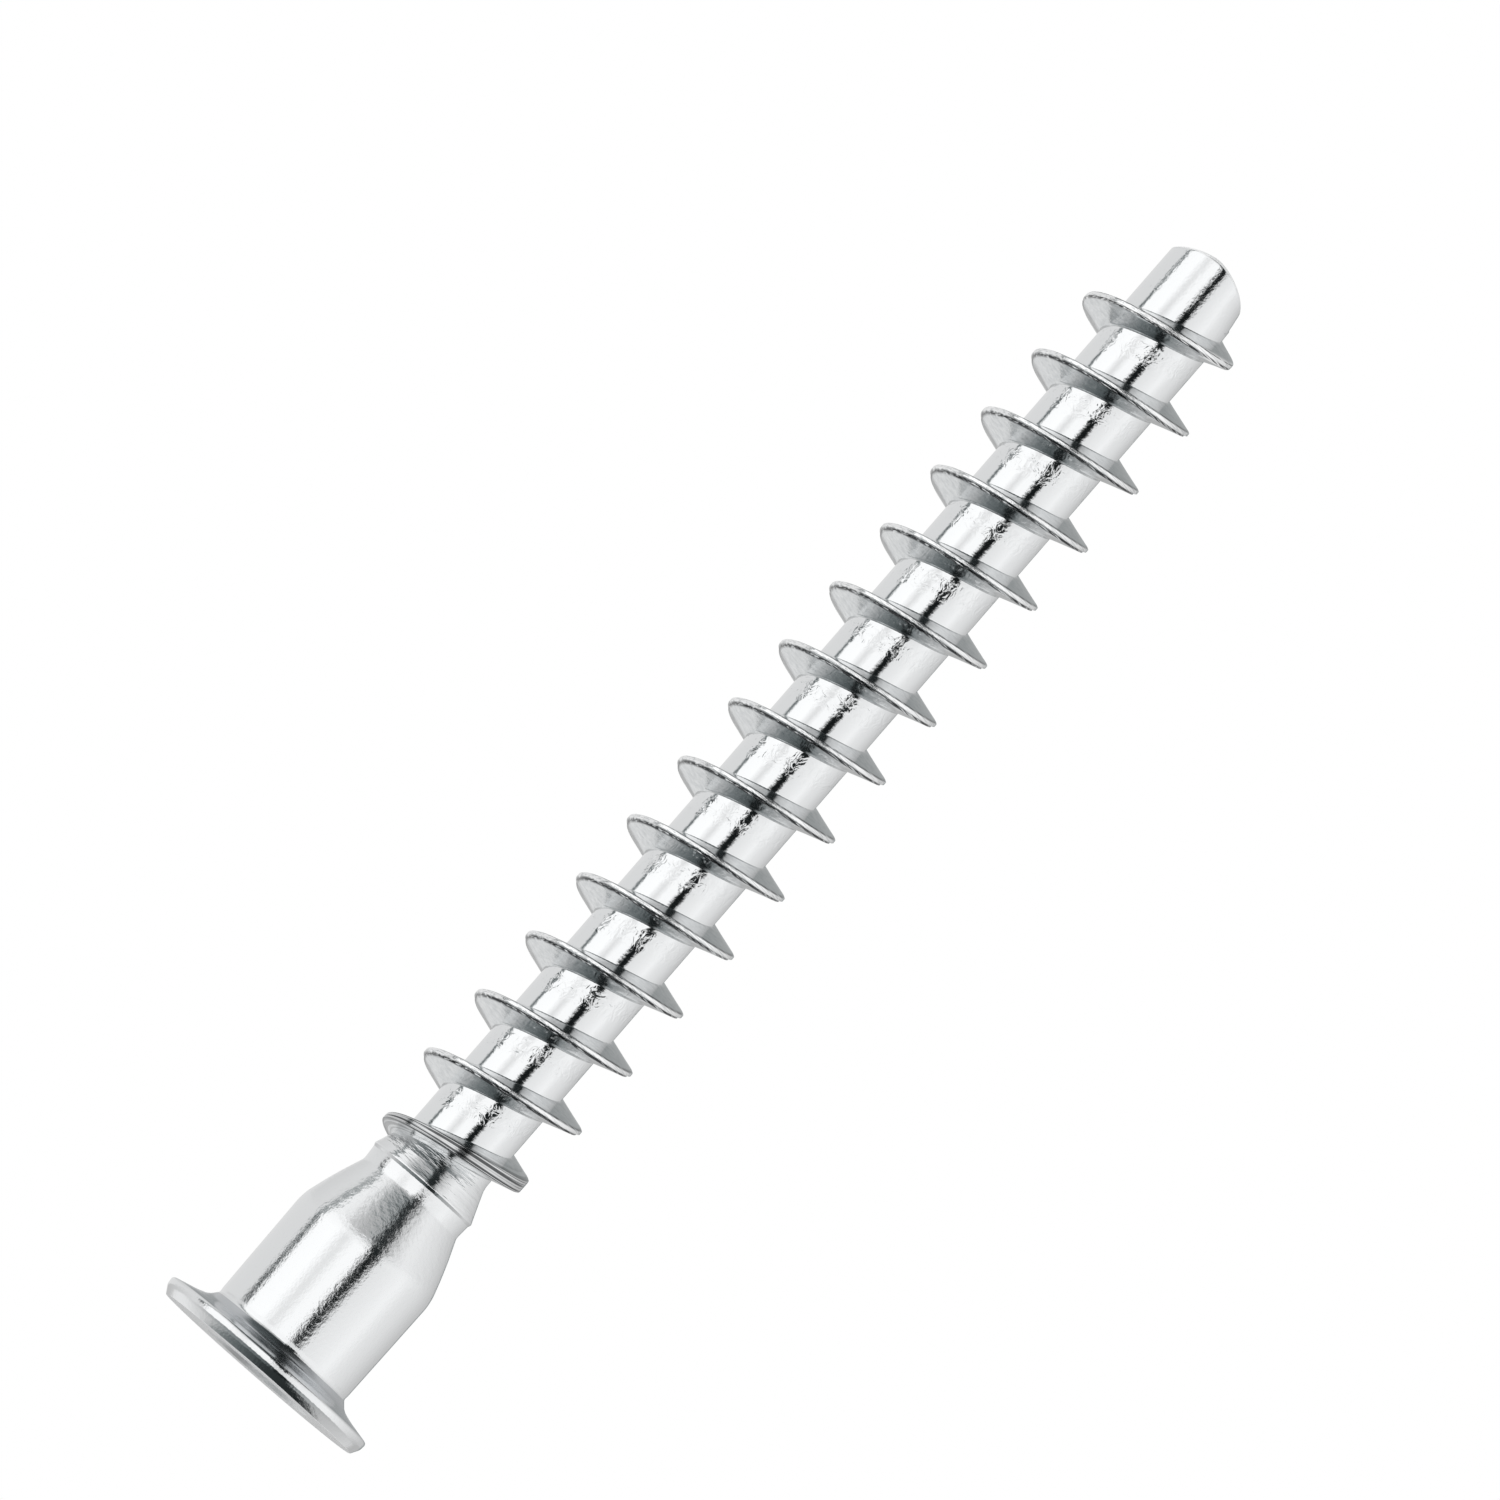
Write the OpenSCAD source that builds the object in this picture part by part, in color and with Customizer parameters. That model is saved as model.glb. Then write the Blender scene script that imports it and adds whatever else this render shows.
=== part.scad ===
// One-piece connector screw for joining furniture boards, 7 x 60 mm, bright zinc plated steel.
// It stands on the flat face of its head: the face is at z = 0, and +Z runs along the screw to its tip.
// A headed blank carries the flange, the shoulder and the core. A hex recess is punched into the head,
// and one right-hand ridge is rolled up around the core.

/* [Overall] */
// Length from the head's face to the end of the tip
length = 60; // [45:0.5:75]

/* [Head] */
// Diameter of the flange head
head_d = 10.4; // [9.6:0.1:12]
// Thickness of the head at its rim
rim_h = 0.8; // [0.65:0.05:1.2]
// Width of the bevel around the head's face
face_bevel_w = 0.28; // [0.2:0.01:0.45]
// Height of that bevel on the rim
face_bevel_h = 0.35; // [0.2:0.01:0.4]
// Rounding of the rim's other edge
rim_round = 0.2; // [0.1:0.02:0.24]
// Slope of the head's underside, in degrees
underside_slope = 12; // [0:1:20]
// Fillet between the underside and the shoulder
underside_fillet = 0.6; // [0.4:0.05:1.2]

/* [Drive socket] */
// Width of the hexagon across its flats
hex_af = 4; // [3:0.5:4.2]
// Depth of the hexagon below the head's face
hex_depth = 3; // [2:0.1:3.6]
// Diameter of the conical mouth at the head's face
mouth_d = 5.4; // [5.2:0.1:6]
// Angle between the mouth's wall and the axis, in degrees
mouth_angle = 45; // [35:1:55]
// Diameter of the round relief bore below the hexagon
relief_d = 2.8; // [2:0.1:2.9]
// Depth of the relief bore below the hexagon
relief_depth = 1.3; // [0.6:0.1:1.6]
// Depth of the punch's cone at the bottom of the relief bore
relief_point = 0.25; // [0.1:0.05:0.5]

/* [Shoulder] */
// Diameter of the shoulder
shoulder_d = 6.75; // [6.4:0.05:7]
// Length from the head's face to the start of the taper
shoulder_l = 6.8; // [6:0.1:9]
// Length of the taper between the shoulder and the neck
taper_l = 2.9; // [2.4:0.1:4]
// Blend radius at both ends of the taper
taper_blend = 1.4; // [0.4:0.1:2]
// Diameter of the neck
neck_d = 5.05; // [4.8:0.05:5.6]
// Length of the neck after the taper
neck_l = 0.62; // [0.4:0.02:1.5]
// Height of the lip that the rolling dies leave at the end of the neck
lip_h = 0.07; // [0.03:0.01:0.15]
// Length of each side of that lip
lip_l = 0.16; // [0.08:0.02:0.3]
// Length of the cone between the neck and the core, under the first turn
run_in_l = 1.6; // [1:0.1:2.4]

/* [Thread] */
// Outer diameter of the thread
thread_d = 7; // [6.3:0.1:7.4]
// Diameter of the core
core_d = 4.05; // [3.6:0.05:4.4]
// Distance from crest to crest along the axis
pitch = 3.15; // [2.6:0.05:3.6]
// Slope of the flank on the side of the head, in degrees
head_flank = 18; // [12:1:24]
// Slope of the flank on the side of the tip, in degrees
tip_flank = 14; // [12:1:24]
// Width of the crest where the ridge has its full height
crest_w = 0.18; // [0.1:0.02:0.3]
// Distance along the axis from the end of the neck to the first crest
first_crest = 0.95; // [0.6:0.05:1.5]

/* [Tip] */
// Plain length of the tip after the last crest
tip_l = 3.1; // [2.6:0.1:5]
// Height of the rounded part of the end
dome_h = 1.15; // [0.8:0.05:1.5]
// Power of the rounded end's curve, from pointed at low values to blunt at high ones
dome_power = 1.45; // [1.3:0.05:2]
// Sideways offset of the cropped end toward the side of the first crest
tip_offset = 0.2; // [0:0.01:0.45]
// Breadth of the rounded end across that offset, as a multiple of its breadth along it
dome_breadth = 2.4; // [1:0.1:3]

/* [Hidden] */

// Number of short lines in each rounded stretch of the outline
arc_steps = 8;
// Number of straight steps in one turn of the ridge
turn_steps = 40;
// Depth of the ridge's foot below the core's surface, so that ridge and core are one solid
ridge_sink = 0.45;
// Length by which a cutting body runs past the face that it opens
cut_over = 0.5;
// Share of the ridge's full height against turns after the first crest
ridge_start = [[-0.55, -0.25], [-0.3, 0.3], [0, 0.66], [0.5, 0.78], [1, 1]];
// Share of the ridge's full height against turns after the last crest
ridge_end = [[-1, 1], [-0.5, 0.95], [0, 0.74], [0.2, 0.5], [0.48, -0.25]];
// Share of the flanks' spread that widens a low ridge's crest, against turns after the last crest
crest_spread = [[-0.7, 1], [0, 0.35]];
// Angle around the axis at which the first crest is measured
first_crest_angle = 180;

head_r = head_d / 2;
shoulder_r = shoulder_d / 2;
neck_r = neck_d / 2;
core_r = core_d / 2;
thread_r = thread_d / 2;
taper_end = shoulder_l + taper_l;
neck_end = taper_end + neck_l;
core_start = neck_end + run_in_l;
first_crest_z = neck_end + first_crest;
last_crest_z = length - tip_l;
turns = (last_crest_z - first_crest_z) / pitch;

// Points of an arc around a centre, from one angle to another
function arc(centre, radius, from, to) = [
    for (i = [0:arc_steps])
        let (a = from + (to - from) * i / arc_steps)
            centre + radius * [cos(a), sin(a)]
];

// Points that round the corner between two lines with a radius, for a corner of an outline
function rounded(before, corner, after, radius) =
    let (
        u = (before - corner) / norm(before - corner),
        v = (after - corner) / norm(after - corner),
        half = acos(u * v) / 2,
        centre = corner + (u + v) / norm(u + v) * radius / sin(half),
        a = corner + u * radius / tan(half) - centre,
        b = corner + v * radius / tan(half) - centre,
        from = atan2(a[1], a[0]),
        turn = atan2(b[1], b[0]) - from,
        to = from + (turn > 180 ? turn - 360 : turn < -180 ? turn + 360 : turn)
    )
    arc(centre, radius, from, to);

// Half outline of the flange, from the face to the shoulder, as [radius, height]
function head_outline() =
    let (
        slope = underside_slope,
        edge_r = head_r - rim_round,
        top_edge = [edge_r, rim_h - rim_round] + rim_round * [sin(slope), cos(slope)],
        fillet_r = shoulder_r + underside_fillet,
        fillet_z = top_edge[1] + (top_edge[0] - fillet_r) * tan(slope) + underside_fillet / cos(slope)
    )
    concat(
        [[0, 0], [head_r - face_bevel_w, 0], [head_r, face_bevel_h]],
        arc([edge_r, rim_h - rim_round], rim_round, 0, 90 - slope),
        arc([fillet_r, fillet_z], underside_fillet, 270 - slope, 180)
    );

// Half outline of the shoulder's end, the taper, the neck, its lip and the cone down to the core
function shank_outline() =
    let (
        taper_top = [shoulder_r, shoulder_l],
        taper_foot = [neck_r, taper_end],
        lip_top = [neck_r + lip_h, neck_end]
    )
    concat(
        rounded([shoulder_r, 0], taper_top, taper_foot, taper_blend),
        rounded(taper_top, taper_foot, [neck_r, neck_end], min(taper_blend, neck_l)),
        [[neck_r, neck_end - lip_l], lip_top, [neck_r, neck_end + lip_l], [core_r, core_start]]
    );

// Half outline of the space around the cropped end: a rounded hollow that flares past the core
function tip_outline() =
    let (
        end_r = core_r * 1.02,
        flare = [core_r + tip_offset + 0.03, -2.2 * dome_h],
        over_r = core_r * 2
    )
    concat(
        [for (i = [0:2 * arc_steps])
            let (left = cos(45 * i / arc_steps))
                [end_r * pow(1 - pow(left, dome_power), 1 / dome_power), -dome_h * (1 - left)]],
        [flare, [over_r, flare[1]], [over_r, dome_h], [0, dome_h]]
    );

// The space around the cropped and rounded end, which sits a little to one side
module tip_space() {
    translate([tip_offset * cos(first_crest_angle), tip_offset * sin(first_crest_angle), length])
        scale([1, dome_breadth, 1])
            rotate_extrude($fn = 96)
                polygon(tip_outline());
}

// The headed blank: flange, shoulder, taper, neck and core turned about the axis, with its cropped end
module blank() {
    end = [[core_r, length + cut_over], [0, length + cut_over]];
    difference() {
        rotate_extrude($fn = 96)
            polygon(concat(head_outline(), shank_outline(), end));
        tip_space();
    }
}

// The recess in the head: a conical mouth, the hexagon and a round relief bore with a punch's cone
module drive_socket() {
    mouth_r = mouth_d / 2;
    over_r = mouth_r + cut_over * tan(mouth_angle);
    mouth_depth = mouth_r / tan(mouth_angle);
    relief_end = hex_depth + relief_depth;
    translate([0, 0, -cut_over])
        cylinder(h = mouth_depth + cut_over, r1 = over_r, r2 = 0, $fn = 96);
    translate([0, 0, -cut_over])
        cylinder(h = hex_depth + cut_over, r = hex_af / 2 / cos(30), $fn = 6);
    translate([0, 0, hex_depth - cut_over])
        cylinder(h = relief_depth + cut_over, d = relief_d, $fn = 96);
    translate([0, 0, relief_end])
        cylinder(h = relief_point, r1 = relief_d / 2, r2 = 0, $fn = 96);
}

// Share of the full height that the ridge has after so many turns from the first crest
function ridge_share(turn) = min(lookup(turn, ridge_start), lookup(turn - turns, ridge_end));

// Section of the ridge after so many turns, as [radius, height from the ridge's middle]
function ridge_section(turn) =
    let (
        foot_r = core_r - ridge_sink,
        top_r = core_r + ridge_share(turn) * (thread_r - core_r),
        foot = thread_r - foot_r,
        top = (thread_r - top_r) * lookup(turn - turns, crest_spread),
        half = crest_w / 2
    )
    [
        [foot_r, -half - foot * tan(head_flank)],
        [top_r, -half - top * tan(head_flank)],
        [top_r, half + top * tan(tip_flank)],
        [foot_r, half + foot * tan(tip_flank)]
    ];

// The rolled ridge: one right-hand helix with flanks, which runs out at both ends
module thread() {
    first = ridge_start[0][0];
    last = turns + ridge_end[len(ridge_end) - 1][0];
    rings = ceil((last - first) * turn_steps);
    sides = len(ridge_section(0));
    points = [
        for (i = [0:rings])
            let (
                turn = first + (last - first) * i / rings,
                angle = first_crest_angle + 360 * turn,
                z = first_crest_z + pitch * turn
            )
            for (p = ridge_section(turn))
                [p[0] * cos(angle), p[0] * sin(angle), z + p[1]]
    ];
    walls = [
        for (i = [0:rings - 1])
            for (j = [0:sides - 1])
                let (
                    a = i * sides + j,
                    b = i * sides + (j + 1) % sides
                )
                for (face = [[a, b, b + sides], [a, b + sides, a + sides]])
                    face
    ];
    start_cap = [for (j = [sides - 1:-1:0]) j];
    end_cap = [for (j = [0:sides - 1]) rings * sides + j];
    polyhedron(points, concat(walls, [start_cap, end_cap]), convexity = 20);
}

module connector_screw() {
    color([0.82, 0.84, 0.85])
        difference() {
            union() {
                blank();
                thread();
            }
            drive_socket();
        }
}

connector_screw();
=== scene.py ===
import math

import bmesh
import bpy
from mathutils import Matrix, Vector


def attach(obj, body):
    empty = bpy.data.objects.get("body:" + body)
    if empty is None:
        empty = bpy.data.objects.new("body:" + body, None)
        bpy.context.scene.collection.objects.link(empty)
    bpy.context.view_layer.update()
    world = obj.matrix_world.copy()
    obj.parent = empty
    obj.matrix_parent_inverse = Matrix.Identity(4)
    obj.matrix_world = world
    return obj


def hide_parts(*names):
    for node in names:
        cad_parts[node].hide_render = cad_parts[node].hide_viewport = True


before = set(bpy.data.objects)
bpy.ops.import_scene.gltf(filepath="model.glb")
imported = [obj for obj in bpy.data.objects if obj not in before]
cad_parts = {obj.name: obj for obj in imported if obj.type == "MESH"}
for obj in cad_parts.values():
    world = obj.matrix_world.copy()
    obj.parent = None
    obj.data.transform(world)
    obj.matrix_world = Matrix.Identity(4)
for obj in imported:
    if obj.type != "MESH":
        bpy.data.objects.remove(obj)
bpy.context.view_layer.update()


# The blank is a length of steel wire that is headed cold into a flat flange, a shoulder and a tapered neck.
# Rolling leaves a fine lip at the neck's end and a cone down to the core. The far end is cropped a little to
# one side: it is broad across and rounded over, and its other side is pressed in.
mm = 0.001
weld = 1e-7
length = 60
core_r = 2.025
tip_start = 57.2
blank_outline = [  # radius, height and rounding in mm, with the name of the line that ends there
    (0, 0, 0),
    (4.95, 0, 0.03),  # face
    (5.17, 0.36, 0.08),  # bevel
    (5.208, 0.72, 0.12),  # rim
    (4.15, 0.97, 0.2),  # underside
    (3.66, 1.14, 0.15),  # fillet
    (3.345, 1.5, 0.08),  # fillet
    (3.37, 1.72, 0.05),  # undercut
    (3.43, 6.75, 0.4),  # shoulder
    (2.98, 8.2, 0.6),  # taper
    (2.485, 9.44, 0.1),  # taper
    (2.528, 10.09, 0.02),  # neck
    (2.59, 10.24, 0.05),  # lip
    (2.535, 10.36, 0.03),  # lip
    (core_r, 11.7, 0.2),  # cone
    (core_r, tip_start, 0),  # core
    (core_r, 59.55, 0),  # tip
    (core_r, length, 0),  # edge of the end
    (0, length, 0),  # end
]


def draw_outline(piece, points, closed=False):
    """Draws an outline as edges in the XZ plane, and returns the edges."""
    corners = [piece.verts.new((radius * mm, 0, height * mm)) for radius, height, _ in points]
    following = corners[1:] + corners[:1] if closed else corners[1:]
    return [piece.edges.new(pair) for pair in zip(corners, following)]


def round_corners(piece, points, segments):
    """Rounds each corner of an outline by the length that its rounding takes of its lines."""
    for radius, height, rounding in points:
        if rounding:
            spot = Vector((radius * mm, 0, height * mm))
            bmesh.ops.bevel(
                piece,
                geom=[min(piece.verts, key=lambda v: (v.co - spot).length)],
                offset=rounding * mm,
                offset_type="OFFSET",
                segments=segments,
                profile=0.5,
                affect="VERTICES",
                material=-1,
            )


def clamp(value, least=0, most=1):
    """The value, kept between two limits."""
    return min(most, max(least, value))


def put_in_scene(name, piece):
    """Makes an object of a finished piece, and frees the piece."""
    mesh = bpy.data.meshes.new(name)
    piece.to_mesh(mesh)
    piece.free()
    thing = bpy.data.objects.new(name, mesh)
    bpy.context.scene.collection.objects.link(thing)
    return thing


blank = bmesh.new()
tip_line, edge_line, end_line = draw_outline(blank, blank_outline)[-3:]
for line, cuts in ((end_line, 39), (edge_line, 8), (tip_line, 15)):
    bmesh.ops.subdivide_edges(blank, edges=[line], cuts=cuts)
round_corners(blank, blank_outline, 6)
bmesh.ops.spin(
    blank,
    geom=blank.verts[:] + blank.edges[:],
    cent=(0, 0, 0),
    axis=(0, 0, 1),
    dvec=(0, 0, 0),
    angle=math.tau,
    steps=192,
    use_merge=True,
    use_duplicate=False,
)
bmesh.ops.remove_doubles(blank, verts=blank.verts, dist=weld)

edge_z, edge_r = 59.5, 1.55
end_edge = [v for v in blank.verts if v.co.z > edge_z * mm and v.co.xy.length > edge_r * mm]
crop_offset = 0.2
dome_along, dome_across = 2.066, 4.957
dome_h, dome_power = 1.15, 1.45
press_depth, press_start, press_run = 0.16, 57.69, 1.16
smooth_rounds = 8
for v in blank.verts:
    x, y, z = v.co / mm
    if z > tip_start:
        pressed = press_depth * (max(0, x) / core_r) ** 2
        reach = min(1, math.hypot((x - pressed + crop_offset) / dome_along, y / dome_across))
        drop = dome_h * (1 - (1 - reach**dome_power) ** (1 / dome_power))
        z -= drop * (z - tip_start) / (length - tip_start)
        x -= pressed * clamp((z - press_start) / press_run)
        v.co = Vector((x, y, z)) * mm
for _ in range(smooth_rounds):
    bmesh.ops.smooth_vert(
        blank, verts=end_edge, factor=0.5, use_axis_x=True, use_axis_y=True, use_axis_z=True
    )
bmesh.ops.recalc_face_normals(blank, faces=blank.faces)
screw_blank = put_in_scene("screw_blank", blank)


# The drive socket is punched into the head: a conical mouth, a 4 mm hexagon and a round relief below it.
# Each punch is a plain body that starts before the face, and the blank keeps its hollow.
hex_r = 4 / math.sqrt(3)
hex_end = 3
relief_r = 1.4
relief_end = 4.3
sharp = 0.001
before_face = -0.5
punches = []
for name, sides, wide, narrow, start, end in (
    ("mouth", 96, 3.2, sharp, before_face, 2.7),
    ("hexagon", 6, hex_r, hex_r, before_face, hex_end),
    ("relief", 96, relief_r, relief_r, 2.5, relief_end),
    ("point", 96, relief_r, sharp, relief_end, 4.55),
):
    punch = bmesh.new()
    bmesh.ops.create_cone(
        punch,
        cap_ends=True,
        segments=sides,
        radius1=wide * mm,
        radius2=narrow * mm,
        depth=(end - start) * mm,
    )
    corner_to_x = Matrix.Rotation(math.radians(30), 3, "Z")
    bmesh.ops.rotate(punch, verts=punch.verts, cent=(0, 0, 0), matrix=corner_to_x)
    bmesh.ops.translate(punch, verts=punch.verts, vec=(0, 0, (start + end) / 2 * mm))
    tool = put_in_scene("punch_" + name, punch)
    cut = screw_blank.modifiers.new(name, "BOOLEAN")
    cut.operation = "DIFFERENCE"
    cut.solver = "EXACT"
    cut.object = tool
    punches.append(tool)
depsgraph = bpy.context.evaluated_depsgraph_get()
punched_mesh = bpy.data.meshes.new_from_object(screw_blank.evaluated_get(depsgraph))
plain_mesh = screw_blank.data
screw_blank.modifiers.clear()
screw_blank.data = punched_mesh
bpy.data.meshes.remove(plain_mesh)
for tool in punches:
    tool_mesh = tool.data
    bpy.data.objects.remove(tool)
    bpy.data.meshes.remove(tool_mesh)


# All of the screw has one thin coat of bright zinc over the steel. It takes the grain of what is under it: drawn
# smooth on the shoulder and the tip, satin on the head's face, dull in the socket and under the head, and torn
# and mottled on the rolled core. Under the head and in the socket's relief bore its colour is darkened as painted
# shade.
def add_node(tree, kind, inputs=None, **properties):
    """Adds a shader node with its properties, and with the values of its inputs by name or number."""
    node = tree.nodes.new("ShaderNode" + kind)
    for name, value in properties.items():
        setattr(node, name, value)
    for name, value in (inputs or {}).items():
        node.inputs[name].default_value = value
    return node


def link_all(tree, pairs):
    """Links each output to its input."""
    for source, target in pairs:
        tree.links.new(source, target)


zinc_grain = bpy.data.node_groups.new("zinc_grain", "ShaderNodeTree")
for socket, value in (("Across per mm", 4.0), ("Along per mm", 4.0), ("Detail", 3.0)):
    entry = zinc_grain.interface.new_socket(socket, in_out="INPUT", socket_type="NodeSocketFloat")
    entry.default_value = value
zinc_grain.interface.new_socket("Grain", in_out="OUTPUT", socket_type="NodeSocketFloat")
inlet = zinc_grain.nodes.new("NodeGroupInput")
outlet = zinc_grain.nodes.new("NodeGroupOutput")
grain_place = add_node(zinc_grain, "TexCoord")
density = add_node(zinc_grain, "CombineXYZ")
per_metre = add_node(zinc_grain, "VectorMath", {"Scale": 1 / mm}, operation="SCALE")
stretched = add_node(zinc_grain, "VectorMath", operation="MULTIPLY")
mottle = add_node(zinc_grain, "TexNoise", {"Scale": 1, "Roughness": 0.55})
link_all(zinc_grain, (
    (inlet.outputs["Across per mm"], density.inputs["X"]),
    (inlet.outputs["Across per mm"], density.inputs["Y"]),
    (inlet.outputs["Along per mm"], density.inputs["Z"]),
    (density.outputs[0], per_metre.inputs[0]),
    (grain_place.outputs["Object"], stretched.inputs[0]),
    (per_metre.outputs[0], stretched.inputs[1]),
    (stretched.outputs[0], mottle.inputs["Vector"]),
    (inlet.outputs["Detail"], mottle.inputs["Detail"]),
    (mottle.outputs[0], outlet.inputs["Grain"]),
))


def zinc(name, grain, gloss, relief, tone=(0.86, 0.872, 0.88), metallic=1):
    """A zinc finish. The grain, per mm across and along and its detail, sets two roughnesses and a relief in mm."""
    finish = bpy.data.materials.new(name)
    finish.use_nodes = True
    tree = finish.node_tree
    coat = tree.nodes["Principled BSDF"]
    coat.inputs["Base Color"].default_value = (*tone, 1)
    coat.inputs["Metallic"].default_value = metallic
    grains = add_node(tree, "Group", name="grain", node_tree=zinc_grain)
    for socket, value in zip(("Across per mm", "Along per mm", "Detail"), grain):
        grains.inputs[socket].default_value = value
    shine = add_node(
        tree,
        "MapRange",
        {"From Min": 0.3, "From Max": 0.7, "To Min": gloss[0], "To Max": gloss[1]},
        name="gloss",
    )
    bump = add_node(tree, "Bump", {"Distance": relief * mm}, name="relief")
    link_all(tree, (
        (grains.outputs["Grain"], shine.inputs["Value"]),
        (shine.outputs["Result"], coat.inputs["Roughness"]),
        (grains.outputs["Grain"], bump.inputs["Height"]),
        (bump.outputs["Normal"], coat.inputs["Normal"]),
    ))
    return finish


drawn = zinc("zinc_drawn", (7, 6, 4), (0.03, 0.08), 0.009)
satin = zinc("zinc_satin", (14, 14, 2), (0.22, 0.38), 0.01)
turned = zinc("zinc_turned", (0.7, 4.5, 3), (0.04, 0.09), 0.05)
rolled = zinc("zinc_rolled", (2.5, 5, 4), (0.02, 0.06), 0.008)
tapered = zinc("zinc_tapered", (3.5, 4.5, 5), (0.05, 0.1), 0.022)
punched = zinc("zinc_punched", (5, 2, 3), (0.12, 0.24), 0.01)
mouth_cone = zinc("zinc_mouth", (8, 8, 3), (0.4, 0.55), 0.01)
# painted shade: the relief bore at the bottom of the socket gets a dark colour where shade falls
painted_relief_shade = zinc("zinc_relief_painted_shade", (3, 3, 3), (0.4, 0.55), 0.02, tone=(0.36, 0.38, 0.39))
# painted shade: the ring under the head gets a darker colour where shade falls
painted_underside_shade = zinc("zinc_underside_painted_shade", (1.5, 8, 4), (0.12, 0.24), 0.006, tone=(0.6, 0.62, 0.64))
cropped_end = zinc("zinc_cropped", (5, 1.5, 4), (0.35, 0.5), 0.03, tone=(0.9, 0.905, 0.91), metallic=0.45)

pitch = 3.15
first_crest = 11.27
core_tree = rolled.node_tree
core_place = add_node(core_tree, "TexCoord")
axes = add_node(core_tree, "SeparateXYZ")
angle = add_node(core_tree, "Math", operation="ARCTAN2")
round_turn = add_node(core_tree, "Math", {1: -1 / math.tau}, operation="MULTIPLY")
climb = add_node(core_tree, "Math", {1: 1 / (pitch * mm)}, operation="MULTIPLY_ADD")
after_crest = add_node(core_tree, "Math", {1: 0.5 - first_crest / pitch}, operation="ADD")
share_of_turn = add_node(core_tree, "Math", operation="FRACT")
torn_band = add_node(core_tree, "ValToRGB")
for share, strength in ((0.38, 0), (0.52, 1), (0.72, 1), (0.8, 0)):
    torn_band.color_ramp.elements.new(share).color = (strength, strength, strength, 1)
torn_band.color_ramp.elements[-1].color = (0, 0, 0, 1)
tear_scale = add_node(core_tree, "VectorMath", {"Scale": 2.2 / mm}, operation="SCALE")
tears = add_node(core_tree, "TexNoise", {"Scale": 1, "Detail": 2, "Distortion": 1.6})
torn = add_node(core_tree, "Bump", {"Distance": 0.04 * mm})
link_all(core_tree, (
    (core_place.outputs["Object"], axes.inputs[0]),
    (axes.outputs["Y"], angle.inputs[0]),
    (axes.outputs["X"], angle.inputs[1]),
    (angle.outputs[0], round_turn.inputs[0]),
    (axes.outputs["Z"], climb.inputs[0]),
    (round_turn.outputs[0], climb.inputs[2]),
    (climb.outputs[0], after_crest.inputs[0]),
    (after_crest.outputs[0], share_of_turn.inputs[0]),
    (share_of_turn.outputs[0], torn_band.inputs["Fac"]),
    (torn_band.outputs["Color"], torn.inputs["Strength"]),
    (core_place.outputs["Object"], tear_scale.inputs[0]),
    (tear_scale.outputs[0], tears.inputs["Vector"]),
    (tears.outputs[0], torn.inputs["Height"]),
    (torn.outputs["Normal"], core_tree.nodes["relief"].inputs["Normal"]),
))


socket_r, socket_end, mouth_end = 2.75, 4.7, 0.6
underside_start, underside_end, underside_r = 0.75, 1.42, 5
taper_start, taper_end = 6.95, 9.75
cone_start, core_start, core_end = 10.3, 12.15, 57.3
crop_start = 58
slack = 0.01


def finish_at(radius, height, facing):
    """The finish of a face at a radius and a height in mm, where facing is its normal's share along +Z."""
    in_socket = radius < socket_r and height < socket_end
    if height < slack:
        return satin
    if in_socket and height < mouth_end and facing < -0.3:
        return mouth_cone
    if in_socket and radius < relief_r + slack and height > hex_end + slack:
        return painted_relief_shade
    if in_socket:
        return punched
    if underside_start < height < underside_end and radius < underside_r:
        return painted_underside_shade
    if taper_start < height < taper_end:
        return tapered
    if cone_start < height < core_start:
        return turned
    if core_start < height < core_end:
        return rolled
    if height > crop_start and facing > 0.25:
        return cropped_end
    return drawn


finishes = (drawn, satin, mouth_cone, punched, painted_relief_shade, turned, rolled, tapered, painted_underside_shade, cropped_end)
for finish in finishes:
    screw_blank.data.materials.append(finish)
for face in screw_blank.data.polygons:
    spot = face.center / mm
    face.material_index = finishes.index(finish_at(spot.xy.length, spot.z, face.normal.z))
screw_blank.data.shade_smooth()
screw_blank.data.set_sharp_from_angle(angle=math.radians(32))
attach(screw_blank, "root")
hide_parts("connector_screw")


# The thread is one right-hand ridge that flat dies roll up out of the core, with a thin crest and a small
# fillet at each foot. It starts low and broad on the cone below the neck, and runs out before the tip.
# The dies leave a seam on each side of the crest, and folds on the first turn. The seams and folds are painted near
# black as shade in their creases, and the worn crest and the folds get painted bright glints.
thread_r = 3.5
first_turn = -0.55
half_turn_steps = 36
half_turns = 31
ridge_section = [  # radius, offset along the axis and rounding in mm
    (1.8, -1.15, 0),
    (2.01, -1.05, 0),
    (2.021, -0.56, 0.08),
    (3.385, -0.19, 0.015),
    (3.375, -0.13, 0.01),
    (thread_r, -0.075, 0.015),
    (thread_r, 0.06, 0.015),
    (3.42, 0.105, 0.015),
    (2.021, 0.46, 0.05),
    (2.01, 0.95, 0),
    (1.8, 1.05, 0),
]
ridge = bmesh.new()
across = ridge.verts.layers.float.new("across")
worn = ridge.verts.layers.float.new("worn")
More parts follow.
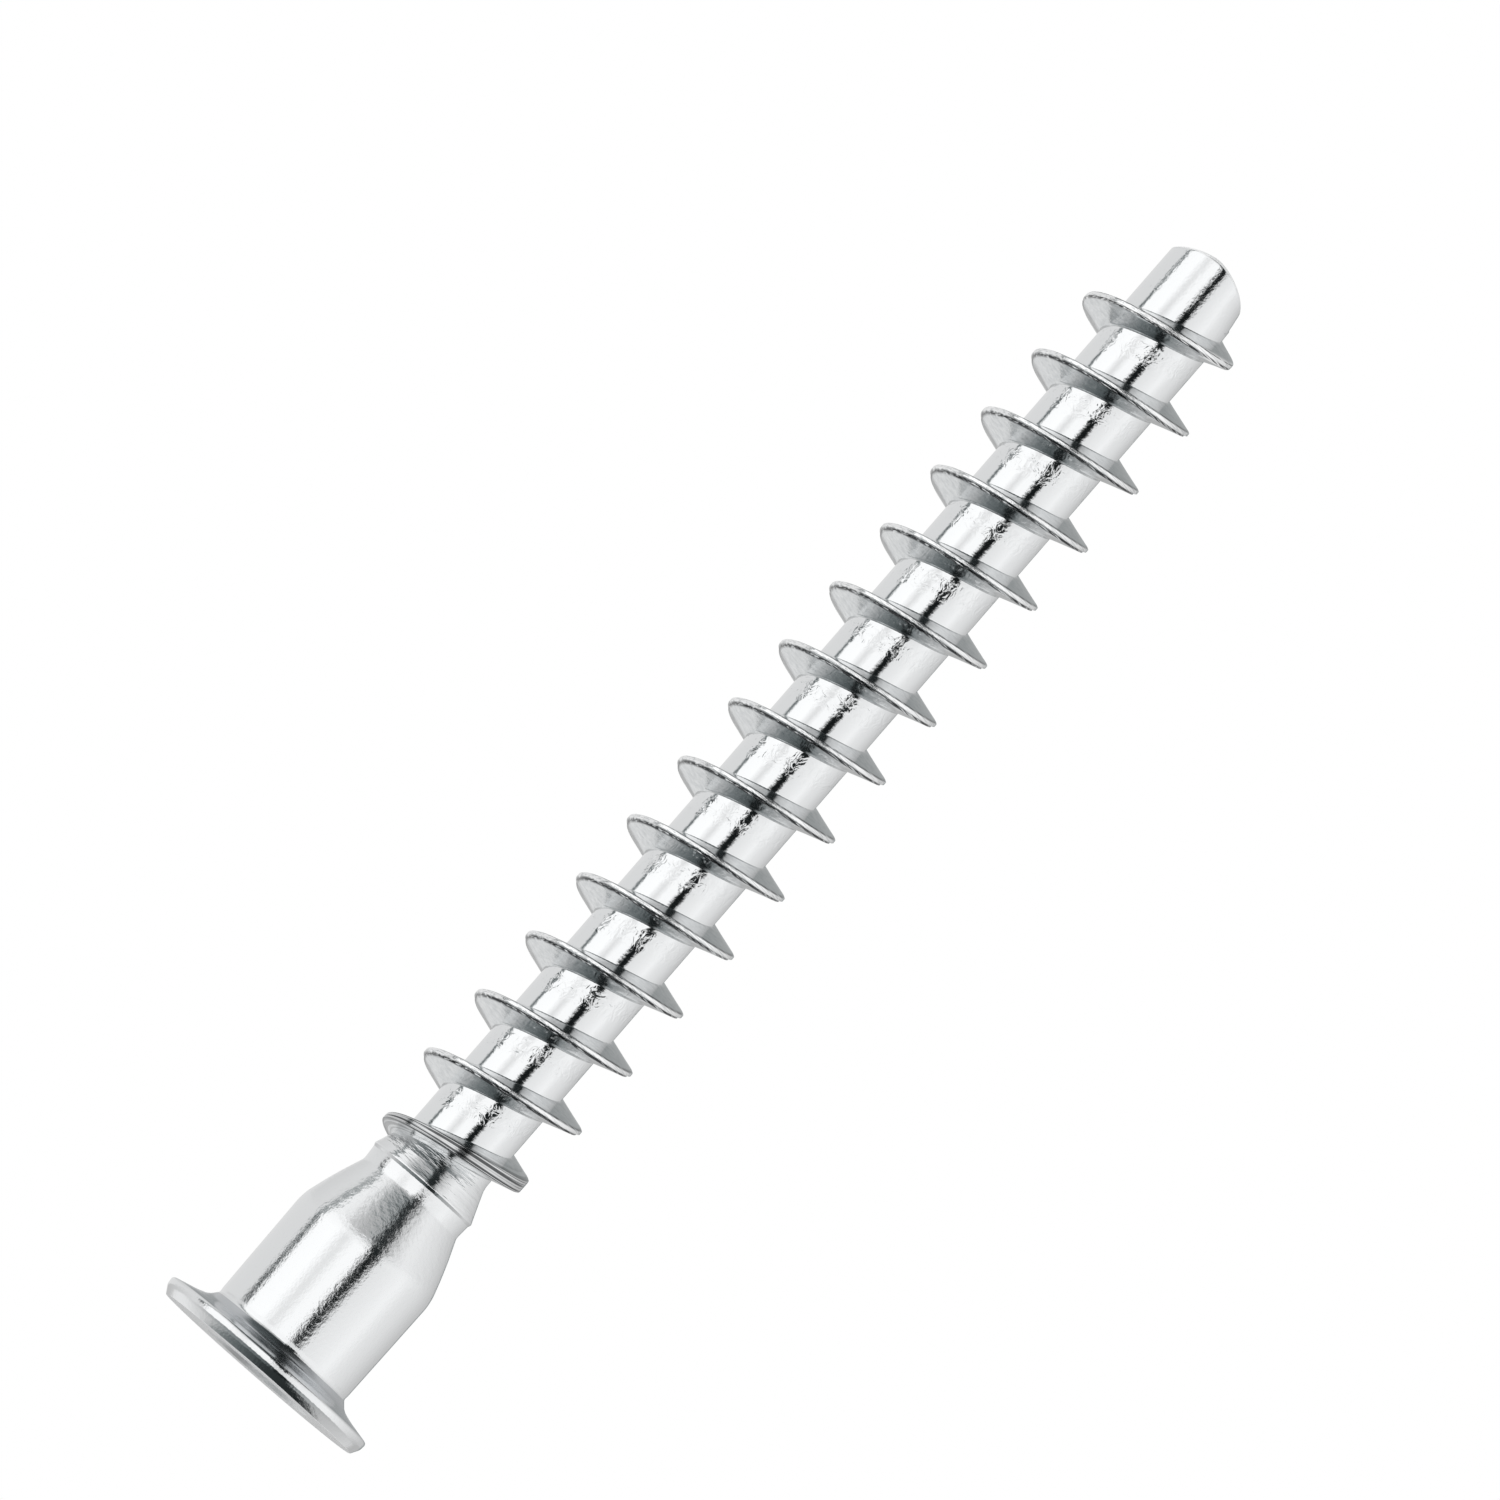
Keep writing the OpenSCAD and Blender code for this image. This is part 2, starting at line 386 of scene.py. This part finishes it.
# this layer marks the seams beside the crest, which the flank finish paints near black as shade
seam_shade = ridge.verts.layers.float.new("seam_shade")
folded = ridge.verts.layers.float.new("first_turn")
lines = draw_outline(ridge, ridge_section, closed=True)
head_flank, tip_flank = lines[2], lines[7]
bmesh.ops.subdivide_edges(ridge, edges=[head_flank, tip_flank], cuts=9)
round_corners(ridge, ridge_section, 3)
for v in ridge.verts:
    v[across] = v.co.z / mm
to_start = Matrix.Rotation(math.radians(180 + 360 * first_turn), 3, "Z")
bmesh.ops.rotate(ridge, verts=ridge.verts, cent=(0, 0, 0), matrix=to_start)
bmesh.ops.translate(ridge, verts=ridge.verts, vec=(0, 0, (first_crest + pitch * first_turn) * mm))
bmesh.ops.spin(
    ridge,
    geom=ridge.verts[:] + ridge.edges[:],
    cent=(0, 0, 0),
    axis=(0, 0, 1),
    dvec=(0, 0, pitch / 2 * mm / half_turn_steps),
    angle=math.pi,
    steps=half_turn_steps,
    use_merge=False,
    use_duplicate=False,
)
half_turn = ridge.verts[:] + ridge.edges[:] + ridge.faces[:]
for _ in range(half_turns - 1):
    half_turn = bmesh.ops.duplicate(ridge, geom=half_turn)["geom"]
    moved = [v for v in half_turn if isinstance(v, bmesh.types.BMVert)]
    bmesh.ops.rotate(ridge, verts=moved, cent=(0, 0, 0), matrix=Matrix.Rotation(math.pi, 3, "Z"))
    bmesh.ops.translate(ridge, verts=moved, vec=(0, 0, pitch / 2 * mm))
bmesh.ops.remove_doubles(ridge, verts=ridge.verts, dist=weld)
bmesh.ops.holes_fill(ridge, edges=[e for e in ridge.edges if e.is_boundary], sides=0)


def between(value, stops):
    """Height, width or share at a turn, on straight lines between the stops."""
    for (a, b), (c, d) in zip(stops, stops[1:]):
        if value < c:
            return b + (d - b) * max(0, (value - a) / (c - a))
    return stops[-1][1]


height_share = [  # this list and those below go by turns after the first crest
    (first_turn, -0.25), (-0.3, 0.3), (0, 0.66), (0.5, 0.79), (1, 1.06),
    (13.6, 1.06), (13.98, 0.96), (14.45, 0.75), (14.65, 0.45), (14.85, 0.1), (14.95, -0.25),
]
crest_softness = [(-0.3, 0.3), (0, 0.09), (14.2, 0.09), (14.5, 0.3), (14.85, 0.6)]
crest_width = [(-0.3, 0.6), (0, 0.7), (0.5, 1), (13.8, 1), (14.5, 0.75), (14.9, 0.4)]
head_side_width = [(0, 0.55), (0.3, 0.65), (0.6, 1)]
tip_side_width = [(0, 0.85), (0.3, 0.9), (0.6, 1)]
crest_spread = [(0, 0), (0.3, 0.12), (0.6, 0.12), (1, 0)]
late_climb = [(14, 0), (14.5, 0.15)]
worn_turns = [(0.45, 0), (0.9, 1), (14.45, 1), (14.6, 0)]
folded_turns = [(0.45, 1), (0.9, 0)]
head_fold_end = [(0.1, 0.8), (0.35, 0.4)]
fold_start, tip_fold_end = 0.16, 0.36
worn_depth, worn_fade = 0.1, 0.06
seam_start, seam_end = 0.6, 14.5
seams = [(-0.16, 0.045, 3.35, 3.4), (0.105, 0.03, 3.39, 3.44)]  # middle, half width and two radii in mm
foot_r, rise_h = 2.02, 1.2
crest_middle, crest_half = -0.02, 0.1
for v in ridge.verts:
    offset = v[across]
    turn = (v.co.z / mm - offset - first_crest) / pitch
    radius = v.co.xy.length / mm
    crest = core_r + between(turn, height_share) * (thread_r - core_r)
    fold_end = tip_fold_end if offset > 0 else between(turn, head_fold_end)
    v[folded] = between(turn, folded_turns) * between(abs(offset), [(fold_start, 1), (fold_end, 0)])
    v[worn] = clamp((radius - min(crest, thread_r) + worn_depth) / worn_fade) * between(turn, worn_turns)
    for middle, half_width, inner, outer in seams:
        if seam_start < turn < seam_end and abs(offset - middle) < half_width and inner < radius < outer:
            v[seam_shade] = 1
    soft = between(turn, crest_softness)
    if radius > crest - soft:
        radius = crest - soft * math.exp(-(radius - crest + soft) / soft)
    rise = clamp((radius - foot_r) / rise_h)
    offset *= between(turn, head_side_width if offset < 0 else tip_side_width)
    offset *= 1 - (1 - between(turn, crest_width)) * rise
    offset += between(turn, crest_spread) * clamp((v[across] - crest_middle) / crest_half, -1, 1)
    offset += between(turn, late_climb)
    turned_by = math.atan2(v.co.y, v.co.x)
    height = first_crest + pitch * turn + offset
    v.co = Vector((radius * math.cos(turned_by), radius * math.sin(turned_by), height)) * mm
bmesh.ops.recalc_face_normals(ridge, faces=ridge.faces)
crest_bend, flank_bend = math.radians(15), math.radians(50)
for edge in ridge.edges:
    on_crest = min(v[worn] for v in edge.verts) > 0.9
    edge.smooth = edge.calc_face_angle(0) < (crest_bend if on_crest else flank_bend)
thread_ridge = put_in_scene("thread_ridge", ridge)

flanks = zinc("zinc_flanks", (3.5, 5, 5), (0.06, 0.15), 0.005)
flank_tree = flanks.node_tree
side_way = add_node(flank_tree, "Attribute", attribute_name="across")
wear_and_glint_mask = add_node(flank_tree, "Attribute", attribute_name="worn")
seam_shade_share = add_node(flank_tree, "Attribute", attribute_name="seam_shade")
fold_roughness_and_painted_light = add_node(flank_tree, "Attribute", attribute_name="first_turn")
flank_place = add_node(flank_tree, "TexCoord")
scuff_scale = add_node(flank_tree, "VectorMath", {"Scale": 4.2 / mm}, operation="SCALE")
side_scale = add_node(flank_tree, "Math", {1: 16}, operation="MULTIPLY")
side_drift = add_node(flank_tree, "CombineXYZ")
scuff_spot = add_node(flank_tree, "VectorMath", operation="ADD")
scuffs = add_node(flank_tree, "TexNoise", {"Scale": 1, "Detail": 3})
scuffed = add_node(flank_tree, "Bump", {"Distance": 0.014 * mm})
fold_scale = add_node(flank_tree, "VectorMath", {"Scale": 0.055}, operation="SCALE")
fold_drift = add_node(flank_tree, "VectorMath", {"Scale": 0.9}, operation="SCALE")
fold_spot = add_node(flank_tree, "VectorMath", operation="ADD")
folds = add_node(flank_tree, "TexNoise", {"Scale": 1, "Detail": 1})
polish = add_node(flank_tree, "Mix", {"B": 0.06})
folds_dull = add_node(flank_tree, "Mix", {"B": 0.15})
# painted highlight: flecks of near-white colour on the worn crest stand in for glints
painted_glints = add_node(flank_tree, "MapRange", {"From Min": 0.51, "From Max": 0.58, "To Min": 1, "To Max": 0.1})
# painted shade: the seams' near-black colour is broken up by the scuffs
broken = add_node(flank_tree, "MapRange", {"From Min": 0.36, "From Max": 0.5})
# painted shade: the folds of the first turn are darkened in patches
painted_fold_shade = add_node(flank_tree, "MapRange", {"From Min": 0.49, "From Max": 0.53, "To Min": 0.3, "To Max": 0.9})
lit_folds = add_node(flank_tree, "MapRange", {"From Min": 0.46, "From Max": 0.42})
glints_on_worn_crest = add_node(flank_tree, "Math", operation="MULTIPLY")
on_lit = add_node(flank_tree, "Math", operation="MULTIPLY")
bright = add_node(flank_tree, "Math", operation="MAXIMUM")
shade_on_seam = add_node(flank_tree, "Math", operation="MULTIPLY")
shade_in_folds = add_node(flank_tree, "Math", operation="MULTIPLY")
dark = add_node(flank_tree, "Math", operation="MAXIMUM")
clouds = add_node(flank_tree, "MapRange", {"From Min": 0.33, "From Max": 0.67})
cloudy = add_node(
    flank_tree, "Mix", {"A": (0.61, 0.63, 0.64, 1), "B": (0.78, 0.795, 0.8, 1)}, data_type="RGBA"
)
# painted highlight: the crest's flecks and the lit parts of the first turn's folds are mixed towards near white
painted_highlight = add_node(flank_tree, "Mix", {"B": (0.98, 0.985, 0.99, 1)}, data_type="RGBA")
# painted shade: the seams and the first turn's folds are mixed towards near black
painted_shade = add_node(flank_tree, "Mix", {"B": (0.05, 0.052, 0.055, 1)}, data_type="RGBA")
flank_coat = flank_tree.nodes["Principled BSDF"]
link_all(flank_tree, (
    (side_way.outputs["Fac"], side_scale.inputs[0]),
    (side_scale.outputs[0], side_drift.inputs["X"]),
    (side_scale.outputs[0], side_drift.inputs["Y"]),
    (flank_place.outputs["Object"], scuff_scale.inputs[0]),
    (scuff_scale.outputs[0], scuff_spot.inputs[0]),
    (side_drift.outputs[0], scuff_spot.inputs[1]),
    (scuff_spot.outputs[0], scuffs.inputs["Vector"]),
    (scuffs.outputs[0], scuffed.inputs["Height"]),
    (wear_and_glint_mask.outputs["Fac"], scuffed.inputs["Strength"]),
    (scuffed.outputs["Normal"], flank_tree.nodes["relief"].inputs["Normal"]),
    (scuff_scale.outputs[0], fold_scale.inputs[0]),
    (fold_scale.outputs[0], fold_spot.inputs[0]),
    (side_drift.outputs[0], fold_drift.inputs[0]),
    (fold_drift.outputs[0], fold_spot.inputs[1]),
    (fold_spot.outputs[0], folds.inputs["Vector"]),
    (flank_tree.nodes["gloss"].outputs["Result"], polish.inputs["A"]),
    (wear_and_glint_mask.outputs["Fac"], polish.inputs["Factor"]),
    (polish.outputs["Result"], folds_dull.inputs["A"]),
    (fold_roughness_and_painted_light.outputs["Fac"], folds_dull.inputs["Factor"]),
    (folds_dull.outputs["Result"], flank_coat.inputs["Roughness"]),
    (scuffs.outputs[0], painted_glints.inputs["Value"]),
    (painted_glints.outputs["Result"], glints_on_worn_crest.inputs[0]),
    (wear_and_glint_mask.outputs["Fac"], glints_on_worn_crest.inputs[1]),
    (folds.outputs[0], lit_folds.inputs["Value"]),
    (lit_folds.outputs["Result"], on_lit.inputs[0]),
    (fold_roughness_and_painted_light.outputs["Fac"], on_lit.inputs[1]),
    (glints_on_worn_crest.outputs[0], bright.inputs[0]),
    (on_lit.outputs[0], bright.inputs[1]),
    (scuffs.outputs[0], broken.inputs["Value"]),
    (seam_shade_share.outputs["Fac"], shade_on_seam.inputs[0]),
    (broken.outputs["Result"], shade_on_seam.inputs[1]),
    (folds.outputs[0], painted_fold_shade.inputs["Value"]),
    (fold_roughness_and_painted_light.outputs["Fac"], shade_in_folds.inputs[0]),
    (painted_fold_shade.outputs["Result"], shade_in_folds.inputs[1]),
    (shade_on_seam.outputs[0], dark.inputs[0]),
    (shade_in_folds.outputs[0], dark.inputs[1]),
    (flank_tree.nodes["grain"].outputs["Grain"], clouds.inputs["Value"]),
    (clouds.outputs["Result"], cloudy.inputs["Factor"]),
    (cloudy.outputs["Result"], painted_highlight.inputs["A"]),
    (bright.outputs[0], painted_highlight.inputs["Factor"]),
    (painted_highlight.outputs["Result"], painted_shade.inputs["A"]),
    (dark.outputs[0], painted_shade.inputs["Factor"]),
    (painted_shade.outputs["Result"], flank_coat.inputs["Base Color"]),
))
thread_ridge.data.materials.append(flanks)
thread_ridge.data.shade_smooth()
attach(thread_ridge, "root")


# The floor is a plain pale sheet under the head. From below it is clear, so that a low camera sees the
# head's face, and the polished metal reflects the studio in place of the sheet.
sheet = bmesh.new()
bmesh.ops.create_grid(sheet, x_segments=1, y_segments=1, size=0.6)
floor = put_in_scene("floor", sheet)
floor.location.z = -0.02 * mm
floor.visible_glossy = False
pale = bpy.data.materials.new("pale_floor")
pale.use_nodes = True
floor_tree = pale.node_tree
paint = floor_tree.nodes["Principled BSDF"]
paint.inputs["Base Color"].default_value = (0.92, 0.92, 0.92, 1)
paint.inputs["Roughness"].default_value = 0.9
paint.inputs["Specular IOR Level"].default_value = 0
side = add_node(floor_tree, "NewGeometry")
clear = add_node(floor_tree, "BsdfTransparent")
either = add_node(floor_tree, "MixShader")
link_all(floor_tree, (
    (side.outputs["Backfacing"], either.inputs["Fac"]),
    (paint.outputs["BSDF"], either.inputs[1]),
    (clear.outputs["BSDF"], either.inputs[2]),
    (either.outputs["Shader"], floor_tree.nodes["Material Output"].inputs["Surface"]),
))
floor.data.materials.append(pale)


# The studio is a white room of soft panels with dark gaps between them, and the polished zinc draws the gaps
# out into long streaks. Its rings of panels stand above each other, so each slope of the screw mirrors its own
# ring. The camera and plain surfaces see only white.
room = bpy.data.worlds.new("studio")
bpy.context.scene.world = room
room.use_nodes = True
room_tree = room.node_tree
direction = add_node(room_tree, "TexCoord")
parts = add_node(room_tree, "SeparateXYZ")
toward = add_node(room_tree, "Math", {1: -1}, operation="MULTIPLY")
bearing = add_node(room_tree, "Math", operation="ARCTAN2")
elevation = add_node(room_tree, "Math", operation="ARCSINE")
round_the_room = add_node(room_tree, "MapRange", {"From Min": -math.pi, "From Max": math.pi})
link_all(room_tree, (
    (direction.outputs["Generated"], parts.inputs[0]),
    (parts.outputs["Y"], toward.inputs[0]),
    (parts.outputs["X"], bearing.inputs[0]),
    (toward.outputs[0], bearing.inputs[1]),
    (parts.outputs["Z"], elevation.inputs[0]),
    (bearing.outputs[0], round_the_room.inputs["Value"]),
))


def ring(stops):
    """A ring of panels: their brightness at bearings in degrees, where 0 is behind the camera, cooler in shade."""
    panels = add_node(room_tree, "ValToRGB")
    room_tree.links.new(round_the_room.outputs["Result"], panels.inputs["Fac"])
    for degrees, brightness in stops:
        if abs(degrees) == 180:
            stop = panels.color_ramp.elements[0 if degrees < 0 else -1]
        else:
            stop = panels.color_ramp.elements.new((degrees + 180) / 360)
        shade = max(0, 1 - 2 * brightness)
        stop.color = (brightness * (1 - 0.2 * shade), brightness * (1 - 0.03 * shade), brightness, 1)
    return panels.outputs["Color"]


def stack(lower, upper, start, full):
    """Two rings above each other, which pass over between two elevations in degrees."""
    share = add_node(
        room_tree,
        "MapRange",
        {"From Min": math.radians(start), "From Max": math.radians(full)},
        interpolation_type="SMOOTHSTEP",
    )
    both = add_node(room_tree, "Mix", data_type="RGBA")
    link_all(room_tree, (
        (elevation.outputs[0], share.inputs["Value"]),
        (share.outputs["Result"], both.inputs["Factor"]),
        (lower, both.inputs["A"]),
        (upper, both.inputs["B"]),
    ))
    return both.outputs["Result"]


front = [(-48, 1.15), (-32, 0.84), (-18, 1.1)]
far_side = [
    (50, 0.94), (70, 1.02), (90, 0.87), (110, 0.8), (150, 0.58), (160, 0.58), (168, 0.3), (176, 0.3), (180, 0.78),
]
eye_level = ring(
    [(-180, 0.78), (-95, 0.78), (-90, 0.03), (-85, 0.03), (-80, 1.12)]
    + front + [(2, 1.1), (7, 0.02), (17.5, 0.02), (22.5, 0.86)] + far_side
)
over_eye_level = ring(
    [(-180, 0.78), (-95, 0.78), (-90, 0.26), (-86, 0.26), (-81, 1.12)]
    + front + [(-1, 1.1), (4, 0.01), (19.5, 0.01), (24.5, 0.86)] + far_side
)
upper_panels = ring(
    [(-180, 0.78), (-94, 0.78), (-90, 0.15), (-87, 0.15), (-82, 1.12)]
    + front + [(4, 1.1), (9, 0.01), (22, 0.01), (27, 0.86)] + far_side
)
over_panels = ring([
    (-180, 0.4), (-172, 0.45), (-164, 0.68), (-95, 0.78), (-90, 0.3), (-85, 0.3), (-80, 1.1), (-48, 1.1),
    (-32, 0.95), (-18, 1.05), (0, 1.05), (6, 0.02), (20, 0.02), (26, 0.9), (70, 1.0), (100, 0.85), (150, 0.6),
    (180, 0.4),
])
card_left = [(-180, 0.35), (-172, 0.4), (-164, 0.66), (-110, 0.78), (-95, 0.76), (-90, 0.25), (-85, 0.25)]
card_right = [
    (4, 0.03), (21, 0.02), (27, 0.5), (40, 0.76), (60, 0.94), (110, 0.78), (150, 0.56), (168, 0.48), (180, 0.35),
]
grey_card = ring(
    card_left + [(-80, 1), (-60, 0.95), (-42, 0.64), (-25, 0.5), (-10, 0.48), (0, 0.42)] + card_right
)
dim_card = ring(
    card_left + [(-80, 0.9), (-60, 0.75), (-42, 0.42), (-25, 0.28), (-10, 0.26), (0, 0.22)] + card_right
)
ceiling = ring([
    (-180, 0.5), (-100, 0.75), (-62, 0.6), (-45, 0.15), (-10, 0.05), (12, 0.01), (24, 0.03), (32, 0.45),
    (60, 0.6), (110, 0.7), (180, 0.5),
])
zenith = ring([
    (-180, 0.3), (-125, 0.25), (-108, 0.14), (-60, 0.06), (0, 0.02), (78, 0.02), (92, 0.45), (130, 0.5),
    (180, 0.3),
])
under_eye_level = ring([
    (-180, 0.5), (-95, 0.78), (-90, 0.7), (-85, 0.7), (-80, 1.1), (-48, 1.1), (-32, 0.98), (-18, 1.08),
    (0, 1.05), (7, 0.8), (17, 0.8), (27, 0.95), (70, 1.0), (100, 0.85), (150, 0.5), (180, 0.5),
])
under_panels = ring([
    (-180, 0.85), (-127, 0.88), (-90, 0.6), (-53, 0.3), (-20, 0.18), (2, 0.11), (10, 0.02), (28, 0.02),
    (38, 0.28), (50, 0.4), (96, 0.55), (130, 0.65), (180, 0.85),
])
below = ring([
    (-180, 0.7), (-130, 0.65), (-118, 0.34), (-90, 0.26), (-40, 0.12), (0, 0.04), (90, 0.015), (110, 0.03),
    (125, 0.5), (180, 0.7),
])
nadir = ring([(-180, 0.95), (180, 0.95)])
walls = eye_level
for upper, start, full in (
    (over_eye_level, 2, 2.7),
    (upper_panels, 5, 6),
    (over_panels, 8, 12),
    (grey_card, 14, 28),
    (dim_card, 37, 46),
    (ceiling, 48, 54),
    (zenith, 54, 62),
):
    walls = stack(walls, upper, start, full)
for lower, start, full in (
    (under_eye_level, -3.5, -2.2),
    (under_panels, -20, -14),
    (below, -56, -44),
    (nadir, -78, -71),
):
    walls = stack(lower, walls, start, full)

path = add_node(room_tree, "LightPath")
for_metal = add_node(room_tree, "Mix", {"A": (0.9, 0.9, 0.9, 1)}, data_type="RGBA")
unlit = add_node(room_tree, "Math", operation="MAXIMUM")
for_camera = add_node(room_tree, "Mix", {"B": (1, 1, 1, 1)}, data_type="RGBA")
link_all(room_tree, (
    (path.outputs["Is Glossy Ray"], for_metal.inputs["Factor"]),
    (walls, for_metal.inputs["B"]),
    (path.outputs["Is Camera Ray"], unlit.inputs[0]),
    (path.outputs["Is Transmission Ray"], unlit.inputs[1]),
    (unlit.outputs[0], for_camera.inputs["Factor"]),
    (for_metal.outputs["Result"], for_camera.inputs["A"]),
    (for_camera.outputs["Result"], room_tree.nodes["Background"].inputs["Color"]),
))

panel = bpy.data.lights.new("soft_panel", "AREA")
panel.size = 0.3
panel.energy = 0.8
soft_panel = bpy.data.objects.new("soft_panel", panel)
soft_panel.location = (-0.28, -0.22, 0.45)
lit_spot = Vector((0, 0, length / 2 * mm))
soft_panel.rotation_euler = (lit_spot - soft_panel.location).to_track_quat("-Z", "Y").to_euler()
soft_panel.visible_glossy = False
bpy.context.scene.collection.objects.link(soft_panel)


# The camera looks square at the side of the screw with a long lens, a little from the head's end,
# and it is rolled so that the screw runs from the lower left to the upper right.
eye = bpy.data.cameras.new("camera")
eye.sensor_width = 36
eye.lens = 530.4
eye.clip_end = 10
camera = bpy.data.objects.new("camera", eye)
bpy.context.scene.collection.objects.link(camera)
bpy.context.scene.camera = camera
aim = Vector((-1.552, 0, 32.314)) * mm
distance = 0.9
dip = math.radians(4)
lean = math.radians(48.96)
back = Vector((0, -math.cos(dip), -math.sin(dip)))
upright = Vector((0, -math.sin(dip), math.cos(dip)))
right = Vector((math.sin(lean), 0, 0)) + upright * math.cos(lean)
top = Vector((-math.cos(lean), 0, 0)) + upright * math.sin(lean)
turned_to = Matrix((right, top, back)).transposed().to_4x4()
camera.matrix_world = Matrix.Translation(aim + back * distance) @ turned_to
bpy.context.scene.view_settings.view_transform = "Standard"
